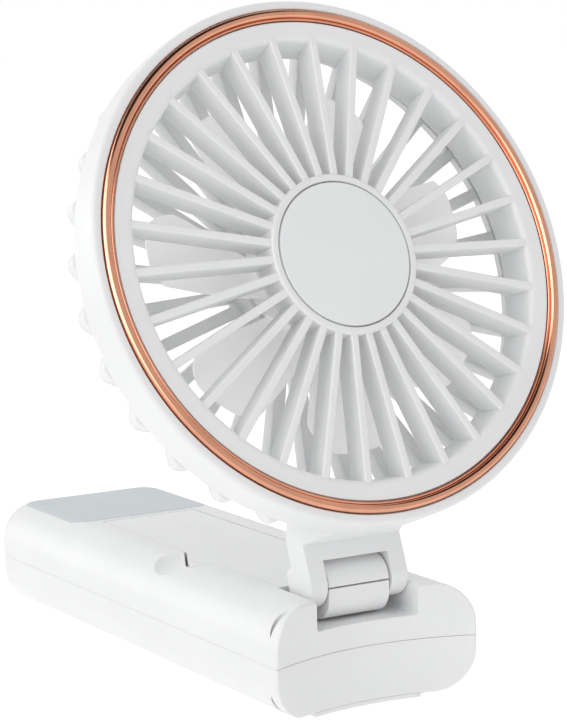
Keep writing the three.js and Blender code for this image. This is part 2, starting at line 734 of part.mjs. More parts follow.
function impeller() {
  const { hub, front, back, blades } = FAN;
  const cup = revolved(
    [
      [0, front],
      [hub - 1.2, front],
      [hub, front + 1.2],
      [hub, back],
      [hub - 1.1, back],
      [hub - 1.1, front + 1.3],
      [2.6, front + 1.3],
      [2.6, MOTOR.front - 0.4],
      [0, MOTOR.front - 0.4],
    ],
    36,
  );
  const blade = bladeGeometry();
  const step = 360 / blades;
  const all = Array.from({ length: blades }, (_, i) => solid(spun(blade, i * step)));
  return cut(
    union(cup, ...all.map((one) => cut(one, barAlongY(0, 0, hub - 0.5, 0, 30, 36)))),
    barAlongY(0, 0, SHAFT.radius, front + 0.9, 30),
  );
}

const motorShaft = () => barAlongY(0, 0, SHAFT.radius - 0.02, SHAFT.front, SHAFT.back);

// Every solid becomes one named mesh in the group it moves with.
function add(group, name, finish, shape) {
  const source = shape.getMesh();
  const geometry = new THREE.BufferGeometry();
  geometry.setAttribute("position", new THREE.BufferAttribute(source.vertProperties, 3));
  geometry.setIndex(new THREE.BufferAttribute(source.triVerts, 1));
  const faceted = geometry.toNonIndexed();
  faceted.computeVertexNormals();
  const mesh = new THREE.Mesh(faceted, new THREE.MeshStandardMaterial(finish));
  mesh.name = name;
  group.add(mesh);
}

function addHandle(group) {
  add(group, "front_shell", PLASTIC, frontShell());
  add(group, "back_shell", PLASTIC, backShell());
  add(group, "front_panel", SOFT_GREY, frontPanel());
  add(group, "battery_door", PLASTIC, batteryDoor());
  add(group, "spec_label", LABEL_BLUE, specLabel());
  add(group, "power_button", SOFT_GREY, powerButton());
  add(group, "switch_board", BOARD_GREEN, switchBoard());
  add(group, "tact_switch", DARK, tactSwitch());
  add(group, "charge_board", BOARD_GREEN, chargeBoard());
  add(group, "usb_port", STEEL, usbPort());
  add(group, "battery_cell", CELL_WRAP, batteryCell());
  add(group, "spring_contact", STEEL, springContact());
  add(group, "plate_contact", STEEL, plateContact());
  SHELL_SCREWS.forEach(([x, y], i) => {
    add(group, `shell_screw_${i + 1}`, STEEL, screw(x, y, 1.15, i < 2 ? 14.5 : 18.5, 2.1, 1));
  });
}

function addHinge(group) {
  add(group, "hinge_block", PLASTIC, hingeBlock());
  add(group, "hinge_block_cap", PLASTIC, hingeBlockCap());
  add(group, "hinge_pin", STEEL, hingePin());
  add(group, "friction_washer_left", STEEL, frictionWasher(-1));
  add(group, "friction_washer_right", STEEL, frictionWasher(1));
  HINGE_SCREWS.forEach(([name, x]) => add(group, name, STEEL, screw(x, HINGE_SCREW_Y, 13.6, 19.5, 1.7, 0.9)));
}

function addHead(group) {
  add(group, "front_grille", PLASTIC, frontGrille());
  add(group, "trim_ring", COPPER, trimRing());
  add(group, "hub_cap", SOFT_GREY, hubCap());
  add(group, "rear_housing", PLASTIC, rearHousing());
  add(group, "rear_grille", PLASTIC, rearGrille());
  add(group, "motor_can", MOTOR_STEEL, motorCan());
  add(group, "motor_end_cap", DARK, motorEndCap());
  MOTOR_SCREWS.forEach(([name, x]) => add(group, name, STEEL, motorScrew(x)));
  add(group, "impeller", BLADE_PLASTIC, impeller());
  add(group, "motor_shaft", STEEL, motorShaft());
}

const fan = new THREE.Group();
fan.name = "handheld_fan";
addHandle(fan);
addHinge(fan);

const headAtHinge = new THREE.Group();
headAtHinge.position.set(0, HINGE.y, HINGE.z);
headAtHinge.rotation.x = -LEAN;
fan.add(headAtHinge);

const head = new THREE.Group();
head.position.set(0, -AXIS_BEHIND, AXIS_BELOW);
headAtHinge.add(head);
addHead(head);

export default fan;
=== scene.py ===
"""A folding handheld fan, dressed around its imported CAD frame. Shapes are made in millimetres."""

import json
import math

import bmesh
import bpy
from mathutils import Matrix, Vector


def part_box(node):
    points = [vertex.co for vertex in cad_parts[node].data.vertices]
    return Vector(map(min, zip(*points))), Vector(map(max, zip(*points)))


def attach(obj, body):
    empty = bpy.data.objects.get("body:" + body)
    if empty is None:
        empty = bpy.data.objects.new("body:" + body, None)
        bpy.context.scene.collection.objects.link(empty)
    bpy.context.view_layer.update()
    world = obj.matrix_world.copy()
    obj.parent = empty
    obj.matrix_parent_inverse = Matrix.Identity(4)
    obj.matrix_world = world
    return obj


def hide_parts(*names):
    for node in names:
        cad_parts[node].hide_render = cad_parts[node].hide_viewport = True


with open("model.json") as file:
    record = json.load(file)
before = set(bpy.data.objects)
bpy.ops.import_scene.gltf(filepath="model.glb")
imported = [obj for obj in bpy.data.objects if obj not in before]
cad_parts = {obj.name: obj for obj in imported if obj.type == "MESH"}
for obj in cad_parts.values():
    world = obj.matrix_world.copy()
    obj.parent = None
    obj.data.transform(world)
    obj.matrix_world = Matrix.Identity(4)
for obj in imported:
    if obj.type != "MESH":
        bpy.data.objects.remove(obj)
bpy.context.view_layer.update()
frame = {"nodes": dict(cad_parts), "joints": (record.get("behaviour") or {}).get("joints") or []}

MM = 0.001
TO_METRES = Matrix.Scale(MM, 4)


def millimetres(node):
    """Lowest and highest corner of a CAD node, in millimetres."""
    low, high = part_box(node)
    return low / MM, high / MM


# The camera.
CAMERA_AIM = (4.59, -18.86, 62.44)
CAMERA_DISTANCE = 482.4
CAMERA_AZIMUTH = -31.504
CAMERA_ELEVATION = 8.177
CAMERA_ROLL = -0.906
CAMERA_LENS = 119.85

# The head's own frame comes from the impeller's joint: X across, Y the depth behind the trim ring, Z up.
JOINTS = {joint["name"]: joint for joint in frame["joints"]}
SPIN = JOINTS["impeller_spin"]
TILT = JOINTS["head_tilt"]
RING_CENTRE = Vector(SPIN["pos_m"]) / MM
DEPTH_AXIS = -Vector(SPIN["axis"]).normalized()
ACROSS_AXIS = Vector((1, 0, 0))
UP_AXIS = ACROSS_AXIS.cross(DEPTH_AXIS)
HEAD = Matrix.Translation(RING_CENTRE) @ Matrix((ACROSS_AXIS, DEPTH_AXIS, UP_AXIS)).transposed().to_4x4()
HINGE = Vector(TILT["pos_m"]) / MM
HINGE_IN_HEAD = HEAD.inverted() @ HINGE

# The handle.
HANDLE_LOW, HANDLE_HIGH = millimetres("front_shell")[0], millimetres("back_shell")[1]
HANDLE_HALF = HANDLE_HIGH.x
HANDLE_FAR = HANDLE_HIGH.y
SPLIT = (millimetres("front_shell")[1].z + millimetres("back_shell")[0].z) / 2
SIDE_EDGE = 8.5
FAR_EDGE = 6.0
NEAR_EDGE = 0.7
FAR_CORNER = 10.0
NEAR_CORNER = 0.9
SEAM_EDGE = 0.08
NEAR_SEAM_DEPTH = 5
WALL = 1.8
NEST_RADIUS = 52.05
NEST_CENTRE_Y = -106.44
GAP = 0.25
RECESS_HALF = 11.5
RECESS_FLOOR = 16.46
RECESS_BACK = -42.4
RECESS_FLARE = 1.1
BAY_HALF = 9.7
BAY_NEAR = -41.0
BAY_FAR = 31.0
BAY_FLOOR = 5

# Heights at which cutters and blanks end, below or above the handle.
UNDER = -1
OVER = 30

# The front panel, the power button and the charging socket's hole.
PANEL_GAP = 0.15
PANEL_SEAT_GAP = 0.16
PANEL_CORNER = 4
PANEL_THICKNESS = 1
BUTTON_Y = -46.9
BUTTON_RADIUS = 4.3
BUTTON_GAP = 0.3
BUTTON_HOLE_TOP = 5
USB_Z = 7.8
USB_WIDTH = 8.94
USB_HEIGHT = 3.2
USB_GAP = 0.35

# The battery door, its slanted tab and the deep gap beside the tab.
DOOR_UNDER = 21.2
DOOR_SEAT = 21.15
TAB_FAR = -5.4
TAB_TIP = -16.0
TAB_NEAR = -17.6
LATCH_START = (-11.2, TAB_FAR)
LATCH_END = (-16.2, TAB_TIP)
LATCH_NEAR_SIDE = 0.05
LATCH_FAR_SIDE = 0.62
LATCH_FLOOR = 16

# The finger scoop, the strap slot and the label.
SCOOP_X = -16.1
SCOOP_Y = -10.2
SCOOP_RISE = 0.6
SCOOP_HALF_SIZES = (6.0, 5.4, 2.5)
SCOOP_LEAN = -0.38
STRAP_X = -20.1
STRAP_Y = -56.3
STRAP_HALF = 2.1
STRAP_BULGE = 1.3
LABEL_HALF = 16.8
LABEL_NEAR = 33.3
LABEL_FAR = 61.3
LABEL_CORNER = 4.0
LABEL_THICKNESS = 0.1

# The hinge.
KNUCKLE_RADIUS = 4.7
KNUCKLE_DROP = 1.9
KNUCKLE_HALF = 6.85
KNUCKLE_SEAM = 0.3
FOOT_TOP = 22.2
PIN_RADIUS = 1.5
PIN_GAP = 0.1
EAR_RADIUS = 5.16
EAR_BELOW = 4.2
EAR_INSIDE = 7.35
EAR_OUTSIDE = 11.0
EAR_CORNER = 2.8
EAR_CENTRE = (HINGE_IN_HEAD.y, HINGE_IN_HEAD.z)

# The head's front. Radii are from the impeller's axis, and depths are behind the trim ring.
RIM_RADIUS = 51.6
RIM_DEPTH = 7.4
RIM_WALL = 1.6
RIM_FACE_BACK = 2.6
MOUTH_RADIUS = 43.35
MOUTH_DEPTH = 6.8
TRIM_INSIDE = 47.3
TRIM_OUTSIDE = 49.5
TRIM_GAP = 0.22
TRIM_SEAT = 1.1
TRIM_BACK = 0.9
TRIM_EDGE = -0.02
BEAD_HALF = 0.8
BEAD_HEIGHT = 0.62
SPOKES = 30
SPOKE_WIDTH = 1.6
HUB_RADIUS = 15.8
HUB_WALL = 1.4
HUB_FRONT = -1.75
HUB_FLOOR_FRONT = -0.6
HUB_FLOOR_BACK = 1.0
HUB_BACK = 5.0
CAP_RADIUS = 14.1
CAP_BACK = -0.7

# The head's back.
REAR_RING_INSIDE = 43.2
REAR_RING_OUTSIDE = 51.2
REAR_RING_FRONT = 7.7
COLLAR_INSIDE = 46.6
COLLAR_OUTSIDE = 48.2
COLLAR_BACK = 12.6
NECK_ROOT = 9.2
NECK_FRONT = 17.4
NECK_BACK = 23.2
NECK_UNDER = -51.1
NECK_TOP = -44.6
NECK_NARROW = 7.5
AIR_RADIUS = 46.1
RIBS = 30
RIB_WIDTH = 2.4
GUARD_FRONT = 9.0
GUARD_OUTLINE = [(48.4, GUARD_FRONT), (48.7, 9.2), (48.7, 10.2), (48.5, 11.6)]
GUARD_OUTLINE += [(48.0, 12.8), (47.2, 13.8), (46.6, 14.4), (46.2, 14.6)]
BUMP_HALF_ANGLE = 4.3
BUMP_FOOT = 46.4
BUMP_RADIUS = 51.0
BUMP_TAIL_START = 12.6
BUMP_TAIL_LENGTH = 2.2
NECK_ANGLE = 270
NECK_HALF_ANGLE = 14
CUP_INSIDE = 12.2
CUP_RADIUS = 14.4
CUP_FRONT = 13.9
CUP_FLOOR = 20.1
CUP_BACK = 21.6
VENTS = 6
VENT_START = 51
VENT_HALF_ANGLE = 14

# The impeller.
BLADES = 7
BLADE_TIP = 36.0
BLADE_SINK = 0.8
BLADE_START = 153
BLADE_CHORD = 29
BLADE_SKEW = 10
BLADE_RISE = 4.9
BLADE_THICKNESS = 1.1
BLADE_BACK = 7.2
IMPELLER_HUB = 13.6
IMPELLER_WALL = 1.1
IMPELLER_FRONT = 6.2
IMPELLER_BACK = 13.2

# Where most values of a noise texture lie.
NOISE_RANGE = (0.3, 0.7)

# Brightness of the surroundings, and of the floor as the fan and as the camera see it.
SKY_AT_HORIZON = 0.45
SKY_ABOVE = 0.88
REFLECTED_WALLS = 0.72
REFLECTED_SCREEN = 2.8
REFLECTED_CEILING = 0.03
FLOOR_GLOW = 0.74
FLOOR_GLOW_SEEN = 0.82


# Outlines.
def filleted(corners, steps=6):
    """Points of a closed outline whose corners (a, b, radius) are rounded by arcs."""
    points = []
    count = len(corners)
    for i, (a, b, radius) in enumerate(corners):
        corner = Vector((a, b))
        before = Vector(corners[i - 1][:2]) - corner
        after = Vector(corners[(i + 1) % count][:2]) - corner
        if radius <= 0:
            points.append(corner)
            continue
        half = before.angle(after) / 2
        reach = min(radius / math.tan(half), 0.49 * before.length, 0.49 * after.length)
        radius = reach * math.tan(half)
        middle = corner + (before.normalized() + after.normalized()).normalized() * radius / math.sin(half)
        start = corner + before.normalized() * reach - middle
        turn = start.angle_signed(corner + after.normalized() * reach - middle)
        for k in range(steps + 1):
            spoke = Matrix.Rotation(-turn * k / steps, 2) @ start
            points.append(middle + spoke)
    return points


def arc(centre, radius, start, end, steps):
    """Points on a circle, from one angle to another in degrees."""
    angles = [math.radians(start + (end - start) * k / steps) for k in range(steps + 1)]
    return [Vector((centre[0] + radius * math.cos(t), centre[1] + radius * math.sin(t))) for t in angles]


# Solids.
def skinned(rings):
    """A solid through rings of points that all have the same count."""
    solid = bmesh.new()
    loops = [[solid.verts.new(point) for point in ring] for ring in rings]
    count = len(loops[0])
    for low, high in zip(loops, loops[1:]):
        for k in range(count):
            solid.faces.new((low[k - 1], low[k], high[k], high[k - 1]))
    solid.faces.new(list(reversed(loops[0])))
    solid.faces.new(loops[-1])
    bmesh.ops.recalc_face_normals(solid, faces=solid.faces)
    return solid


def prism(outline, axis, low, high):
    """An outline pushed along an axis: (y, z) pairs along X, (x, z) along Y, (x, y) along Z."""
    place = {
        "X": lambda a, b, d: (d, a, b),
        "Y": lambda a, b, d: (a, d, b),
        "Z": lambda a, b, d: (a, b, d),
    }[axis]
    return skinned([[place(p[0], p[1], d) for p in outline] for d in (low, high)])


def block(x0, x1, y0, y1, z0, z1):
    return prism([(x0, y0), (x1, y0), (x1, y1), (x0, y1)], "Z", z0, z1)


def turned(outline, steps=180, wave=None):
    """An outline of (radius, depth) pairs revolved about Y.

    wave(angle, radius, depth) may add to the radius.
    """
    solid = bmesh.new()
    loops = []
    for radius, depth in outline:
        if radius < 1e-6:
            loops.append([solid.verts.new((0, depth, 0))])
            continue
        loop = []
        for k in range(steps):
            angle = 2 * math.pi * k / steps
            r = radius + (wave(angle, radius, depth) if wave else 0)
            loop.append(solid.verts.new((r * math.cos(angle), depth, r * math.sin(angle))))
        loops.append(loop)
    ends_on_axis = len(loops[0]) == 1
    pairs = list(zip(loops, loops[1:])) + ([] if ends_on_axis else [(loops[-1], loops[0])])
    for one, other in pairs:
        for k in range(steps):
            corners = [one[k - 1], one[k]] if len(one) > 1 else [one[0]]
            corners += [other[k], other[k - 1]] if len(other) > 1 else [other[0]]
            solid.faces.new(corners)
    bmesh.ops.recalc_face_normals(solid, faces=solid.faces)
    return solid


def softened(solid, width, angle=35, segments=3):
    """Rounds every edge sharper than the angle."""
    limit = math.radians(angle)
    edges = [e for e in solid.edges if len(e.link_faces) == 2 and e.calc_face_angle(0) > limit]
    bmesh.ops.bevel(
        solid, geom=edges, offset=width, segments=segments, profile=0.5, affect="EDGES", clamp_overlap=True
    )
    return solid


def moved(solid, matrix):
    solid.transform(matrix)
    return solid


def joined(*solids):
    """Several solids in one mesh, without cutting them at each other."""
    whole = bmesh.new()
    for solid in solids:
        mesh = bpy.data.meshes.new("part")
        solid.to_mesh(mesh)
        whole.from_mesh(mesh)
        bpy.data.meshes.remove(mesh)
    return whole


def combined(solid, operation, *others):
    """A boolean of solids: DIFFERENCE, UNION or INTERSECT, in turn."""
    objects = []
    for one in (solid, *others):
        mesh = bpy.data.meshes.new("operand")
        one.to_mesh(mesh)
        item = bpy.data.objects.new("operand", mesh)
        bpy.context.scene.collection.objects.link(item)
        objects.append(item)
    for other in objects[1:]:
        modifier = objects[0].modifiers.new("boolean", "BOOLEAN")
        modifier.operation = operation
        modifier.object = other
        modifier.solver = "EXACT"
    bpy.context.view_layer.update()
    made = objects[0].evaluated_get(bpy.context.evaluated_depsgraph_get())
    result = bmesh.new()
    result.from_mesh(made.to_mesh())
    made.to_mesh_clear()
    for item in objects:
        mesh = item.data
        bpy.data.objects.remove(item)
        bpy.data.meshes.remove(mesh)
    bmesh.ops.remove_doubles(result, verts=result.verts, dist=0.002)
    bmesh.ops.dissolve_degenerate(result, edges=result.edges, dist=0.001)
    return result


def cut(solid, *others):
    return combined(solid, "DIFFERENCE", *others)


# Materials. Texture sizes are in metres, because every piece's own coordinates are.
def nodes_of(name):
    material = bpy.data.materials.new(name)
    material.use_nodes = True
    tree = material.node_tree
    shader = tree.nodes["Principled BSDF"]
    place = tree.nodes.new("ShaderNodeTexCoord").outputs["Object"]
    return material, tree, shader, place


def noise(tree, place, size, detail=2.0):
    node = tree.nodes.new("ShaderNodeTexNoise")
    node.inputs["Scale"].default_value = 1 / size
    node.inputs["Detail"].default_value = detail
    tree.links.new(place, node.inputs["Vector"])
    return node.outputs["Fac"]


def varied_colour(tree, value, shader, colour, spread):
    """Mixes two shades of the colour by a noise value."""
    ramp = tree.nodes.new("ShaderNodeValToRGB")
    for element, factor, position in zip(ramp.color_ramp.elements, (1 - spread, 1 + spread), NOISE_RANGE):
        element.color = [min(1.0, channel * factor) for channel in colour] + [1]
        element.position = position
    tree.links.new(value, ramp.inputs["Fac"])
    tree.links.new(ramp.outputs["Color"], shader.inputs["Base Color"])


def map_range(tree, value, inputs, outputs, interpolation="LINEAR"):
    """Carries a value from one range over to another."""
    mapped = tree.nodes.new("ShaderNodeMapRange")
    mapped.interpolation_type = interpolation
    for name, number in zip(("From Min", "From Max", "To Min", "To Max"), (*inputs, *outputs)):
        mapped.inputs[name].default_value = number
    tree.links.new(value, mapped.inputs["Value"])
    return mapped.outputs["Result"]


def smooth_step(tree, value, inputs, outputs):
    return map_range(tree, value, inputs, outputs, "SMOOTHSTEP")


def varied_roughness(tree, value, shader, low, high):
    roughness = map_range(tree, value, NOISE_RANGE, (low, high))
    tree.links.new(roughness, shader.inputs["Roughness"])


def bumped(tree, value, shader, height, strength):
    bump = tree.nodes.new("ShaderNodeBump")
    bump.inputs["Distance"].default_value = height
    bump.inputs["Strength"].default_value = strength
    tree.links.new(value, bump.inputs["Height"])
    tree.links.new(bump.outputs["Normal"], shader.inputs["Normal"])


def plastic(name, colour, rough, grain=0.0004, spread=0.015, strength=0.12, glow=0.0):
    """Moulded plastic: faint tone drift, a fine spark-eroded grain and slightly uneven gloss."""
    material, tree, shader, place = nodes_of(name)
    varied_colour(tree, noise(tree, place, 0.018), shader, colour, spread)
    varied_roughness(tree, noise(tree, place, 0.004), shader, rough - 0.04, rough + 0.05)
    bumped(tree, noise(tree, place, grain, 3.0), shader, 0.00002, strength)
    shader.inputs["IOR"].default_value = 1.48
    shader.inputs["Subsurface Weight"].default_value = glow
    shader.inputs["Subsurface Radius"].default_value = (1.0, 0.97, 0.94)
    shader.inputs["Subsurface Scale"].default_value = 0.0015
    return material


def metal(name, colour, rough, streak=0.0006, strength=0.04):
    """Plated metal with faint polishing marks."""
    material, tree, shader, place = nodes_of(name)
    varied_colour(tree, noise(tree, place, 0.006), shader, colour, 0.05)
    varied_roughness(tree, noise(tree, place, 0.0015, 4.0), shader, rough * 0.8, rough * 1.25)
    bumped(tree, noise(tree, place, streak, 4.0), shader, 0.00001, strength)
    shader.inputs["Metallic"].default_value = 1.0
    return material


def milky(name, colour):
    """Thin translucent plastic. Its faint glow stands for the light scattered through it from behind."""
    material = plastic(name, colour, 0.32, glow=1.0)
    shader = material.node_tree.nodes["Principled BSDF"]
    shader.inputs["Subsurface Scale"].default_value = 0.006
    shader.inputs["Emission Color"].default_value = (1.0, 0.99, 0.97, 1)
    shader.inputs["Emission Strength"].default_value = 0.13
    return material


WHITE = plastic("white_plastic", (0.865, 0.87, 0.875), 0.42, glow=0.06)
GREY = plastic("grey_plastic", (0.87, 0.88, 0.885), 0.5, grain=0.0003, strength=0.2)
MILKY = milky("blade_plastic", (0.93, 0.935, 0.93))
ROSE_GOLD = metal("rose_gold", (0.79, 0.385, 0.25), 0.12)
STEEL = metal("steel", (0.62, 0.63, 0.64), 0.3)
MOTOR_STEEL = metal("motor_steel", (0.16, 0.165, 0.17), 0.35)
DARK = plastic("dark_plastic", (0.025, 0.026, 0.03), 0.5)
BOARD = plastic("circuit_board", (0.02, 0.12, 0.05), 0.35, grain=0.0012)
LABEL = plastic("label", (0.63, 0.67, 0.7), 0.45, grain=0.0008, strength=0.05)
CELL = plastic("cell_wrap", (0.03, 0.2, 0.34), 0.3, grain=0.002)

CAD_FINISHES = {
    "spec_label": LABEL,
    "tact_switch": DARK,
    "motor_end_cap": DARK,
    "switch_board": BOARD,
    "charge_board": BOARD,
    "battery_cell": CELL,
    "motor_can": MOTOR_STEEL,
    "front_shell": WHITE,
    "back_shell": WHITE,
    "battery_door": WHITE,
    "hinge_block": WHITE,
    "hinge_block_cap": WHITE,
    "front_grille": WHITE,
    "rear_housing": WHITE,
    "rear_grille": WHITE,
    "impeller": MILKY,
    "trim_ring": ROSE_GOLD,
    "hub_cap": GREY,
    "front_panel": GREY,
    "power_button": GREY,
}


def dress_cad_nodes():
    for name, node in frame["nodes"].items():
        node.data.materials.clear()
        node.data.materials.append(CAD_FINISHES.get(name, STEEL))


def piece(name, solid, body, slot, material, replaced=(), place=None, sharp=32):
    """Turns a solid in millimetres into an object that rides on a body."""
    solid.transform(TO_METRES @ (place or Matrix.Identity(4)))
    mesh = bpy.data.meshes.new(name)
    solid.to_mesh(mesh)
    solid.free()
    mesh.materials.append(material)
    mesh.shade_smooth()
    mesh.set_sharp_from_angle(angle=math.radians(sharp))
    item = bpy.data.objects.new(name, mesh)
    bpy.context.scene.collection.objects.link(item)
    normals = item.modifiers.new("normals", "WEIGHTED_NORMAL")
    normals.keep_sharp = True
    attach(item, body)
    if replaced:
        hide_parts(*replaced)
    return item


# The handle's skin: level outlines that pull in towards the bottom and the top.
def edge_inset(z, radius, low, high):
    into = max(0.0, low + radius - z, z - high + radius)
    return radius - math.sqrt(max(0.0, radius**2 - min(into, radius) ** 2))


def handle_outline(z, inset, seam=0.0):
    low = HANDLE_LOW.z + inset
    high = HANDLE_HIGH.z - inset
    side = edge_inset(z, SIDE_EDGE - inset, low, high)
    end = edge_inset(z, FAR_EDGE - inset, low, high)
    near = edge_inset(z, NEAR_EDGE, low, high)
    half = HANDLE_HALF - inset - seam - side
    far = HANDLE_FAR - inset - seam - end
    nest = NEST_RADIUS + inset + near + seam * NEAR_SEAM_DEPTH
    corner = max(FAR_CORNER - inset - side, 1.5)
    reach = math.degrees(math.asin(half / nest))
    near_arc = arc((0, NEST_CENTRE_Y), nest, 90 + reach, 90 - reach, 36)
    corners = [(near_arc[0].x, near_arc[0].y, NEAR_CORNER)]
    corners += [(p.x, p.y, 0) for p in near_arc[1:-1]]
    corners += [(near_arc[-1].x, near_arc[-1].y, NEAR_CORNER), (half, far, corner), (-half, far, corner)]
    return filleted(corners, 10)


def handle_levels(low, high):
    """Heights packed closely where the edges are rounded."""
    bottom, top = HANDLE_LOW.z, HANDLE_HIGH.z
    steps = [SIDE_EDGE * (1 - math.cos(math.radians(a))) for a in range(0, 91, 6)]
    steps += [NEAR_EDGE * (1 - math.cos(math.radians(a))) for a in range(15, 91, 15)]
    levels = sorted([bottom + s for s in steps] + [top - s for s in steps])
    return [low] + [z for z in levels if low + 0.01 < z < high - 0.01] + [high]


def handle_bar(low, high, inset=0.0):
    rings = []
    for z in handle_levels(low, high):
        rings.append([(p.x, p.y, z) for p in handle_outline(z, inset)])
    return skinned(rings)


def handle_half(low, high, seam_z):
    """Half of the bar, with a small rounded edge along the seam."""
    rings = []
    for z in handle_levels(low, high):
        if abs(z - seam_z) < SEAM_EDGE:
            continue
        rings.append([(p.x, p.y, z) for p in handle_outline(z, 0)])
    inner = seam_z + (SEAM_EDGE if seam_z == low else -SEAM_EDGE)
    lip = [[(p.x, p.y, inner) for p in handle_outline(inner, 0)]]
    lip.append([(p.x, p.y, (seam_z * 2 + inner) / 3) for p in handle_outline(seam_z, 0, SEAM_EDGE * 0.3)])
    lip.append([(p.x, p.y, seam_z) for p in handle_outline(seam_z, 0, SEAM_EDGE)])
    rings = list(reversed(lip)) + rings if seam_z == low else rings + lip
    return skinned(rings)


def panel_outline(inset):
    high = millimetres("front_panel")[1]
    half = high.x - inset
    far = high.y - inset
    nest = NEST_RADIUS + PANEL_GAP + inset
    reach = math.degrees(math.asin(half / nest))
    near_arc = arc((0, NEST_CENTRE_Y), nest, 90 + reach, 90 - reach, 24)
    corner = PANEL_CORNER - inset
    corners = [(near_arc[0].x, near_arc[0].y, 0.4)]
    corners += [(p.x, p.y, 0) for p in near_arc[1:-1]]
    corners += [(near_arc[-1].x, near_arc[-1].y, 0.4), (half, far, corner), (-half, far, corner)]
    return filleted(corners, 8)


def upright_bar(x, y, radius, low, high, steps=40):
    return prism(arc((x, y), radius, 0, 360 * (steps - 1) / steps, steps - 1), "Z", low, high)


def strap_slot():
    """A slot with one straight side and one bulging side."""
    radius = (STRAP_HALF**2 + STRAP_BULGE**2) / (2 * STRAP_BULGE)
    reach = math.degrees(math.asin(STRAP_HALF / radius))
    outline = arc((STRAP_X, STRAP_Y + STRAP_BULGE - radius), radius, 90 - reach, 90 + reach, 16)
    return prism(outline, "Z", UNDER, OVER)


def usb_hole():
    half = USB_WIDTH / 2 + USB_GAP
    tall = USB_HEIGHT / 2 + USB_GAP
    corners = [(-half, -tall), (half, -tall), (half, tall), (-half, tall)]
    outline = filleted([(x, USB_Z + z, tall - 0.02) for x, z in corners], 8)
    return prism(outline, "Y", HANDLE_FAR - 10, HANDLE_FAR + 10)


def front_shell():
    shell = handle_half(HANDLE_LOW.z, SPLIT, SPLIT)
    cavity = handle_bar(HANDLE_LOW.z + WALL, SPLIT + 1, WALL)
    panel_seat = prism(panel_outline(-PANEL_SEAT_GAP), "Z", UNDER, PANEL_THICKNESS + 0.05)
    button_hole = upright_bar(0, BUTTON_Y, BUTTON_RADIUS + BUTTON_GAP, UNDER, BUTTON_HOLE_TOP)
    return cut(shell, cavity, panel_seat, button_hole, usb_hole(), strap_slot())


def door_outline(grow, fillet):
    low, high = millimetres("battery_door")
    half = high.x + grow
    tip = TAB_TIP + grow / 4
    corners = [
        (half, low.y - grow, fillet),
        (half, high.y + grow, fillet),
        (-half, high.y + grow, fillet),
        (-half, TAB_FAR + grow / 4, 0.2),
        (low.x - grow, tip, 0.25),
        (low.x - grow, TAB_TIP - 0.6 - grow, 0.25),
        (-half, TAB_NEAR - grow, 0.2),
        (-half, low.y - grow, fillet),
    ]
    return filleted(corners, 5)


def finger_scoop():
    ball = bmesh.new()
    bmesh.ops.create_uvsphere(ball, u_segments=64, v_segments=40, radius=1)
    centre = Matrix.Translation((SCOOP_X, SCOOP_Y, HANDLE_HIGH.z + SCOOP_RISE))
    lean = Matrix.Rotation(SCOOP_LEAN, 4, "Y")
    return moved(ball, centre @ lean @ Matrix.Diagonal((*SCOOP_HALF_SIZES, 1)))


def recess():
    outline = filleted(
        [
            (-RECESS_HALF, RECESS_FLOOR, 0.6),
            (RECESS_HALF, RECESS_FLOOR, 0.6),
            (RECESS_HALF, HANDLE_HIGH.z - 0.7, 1.2),
            (RECESS_HALF + RECESS_FLARE, HANDLE_HIGH.z + 0.7, 0),
            (-RECESS_HALF - RECESS_FLARE, HANDLE_HIGH.z + 0.7, 0),
            (-RECESS_HALF, HANDLE_HIGH.z - 0.7, 1.2),
        ],
        6,
    )
    return prism(outline, "Y", -70, RECESS_BACK)


def latch_slot():
    """The deep gap along the slanted edge of the door's tab."""
    start = Vector(LATCH_START)
    end = Vector(LATCH_END)
    along = (end - start).normalized()
    out = Vector((along.y, -along.x))
    near = out * LATCH_NEAR_SIDE
    far = out * LATCH_FAR_SIDE
    return prism([start + near, start + far, end + far, end + near], "Z", LATCH_FLOOR, OVER)


def label_film():
    """A thin sticker that follows the skin of the handle."""
    corners = [
        (LABEL_HALF, LABEL_NEAR, LABEL_CORNER),
        (LABEL_HALF, LABEL_FAR, LABEL_CORNER),
        (-LABEL_HALF, LABEL_FAR, LABEL_CORNER),
        (-LABEL_HALF, LABEL_NEAR, LABEL_CORNER),
    ]
    blank = prism(filleted(corners, 10), "Z", 18, OVER)
    skin = handle_bar(16, HANDLE_HIGH.z + LABEL_THICKNESS, -LABEL_THICKNESS)
    return combined(blank, "INTERSECT", skin)


def back_shell():
    shell = handle_half(SPLIT, HANDLE_HIGH.z, SPLIT)
    door_seat = prism(door_outline(GAP, 0.5), "Z", DOOR_SEAT, OVER)
    bay = block(-BAY_HALF, BAY_HALF, BAY_NEAR, BAY_FAR, BAY_FLOOR, OVER)
    return cut(shell, recess(), door_seat, bay, finger_scoop(), latch_slot(), strap_slot())


def battery_door():
    blank = prism(door_outline(0, 0.4), "Z", DOOR_UNDER, OVER)
    door = combined(handle_bar(18, HANDLE_HIGH.z), "INTERSECT", blank)
    return softened(door, 0.16, 50, 2)


def front_panel():
    panel = prism(panel_outline(0), "Z", 0, PANEL_THICKNESS)
    hole = upright_bar(0, BUTTON_Y, BUTTON_RADIUS + BUTTON_GAP, UNDER, BUTTON_HOLE_TOP, 64)
    return softened(cut(panel, hole), 0.25, 50, 3)


def power_button():
    """A round key with a shallow dish for the fingertip, turned about the vertical."""
    dish = [(0, 0.55), (1.5, 0.5), (2.8, 0.33), (3.5, 0.2)]
    edge = [(3.95, 0.16), (4.2, 0.26), (BUTTON_RADIUS, 0.5), (BUTTON_RADIUS, 2.7)]
    flange = [(5.0, 2.7), (5.0, 3.4), (0, 3.4)]
    upright = Matrix.Translation((0, BUTTON_Y, 0)) @ Matrix.Rotation(math.pi / 2, 4, "X")
    return moved(turned(dish + edge + flange, 96), upright)


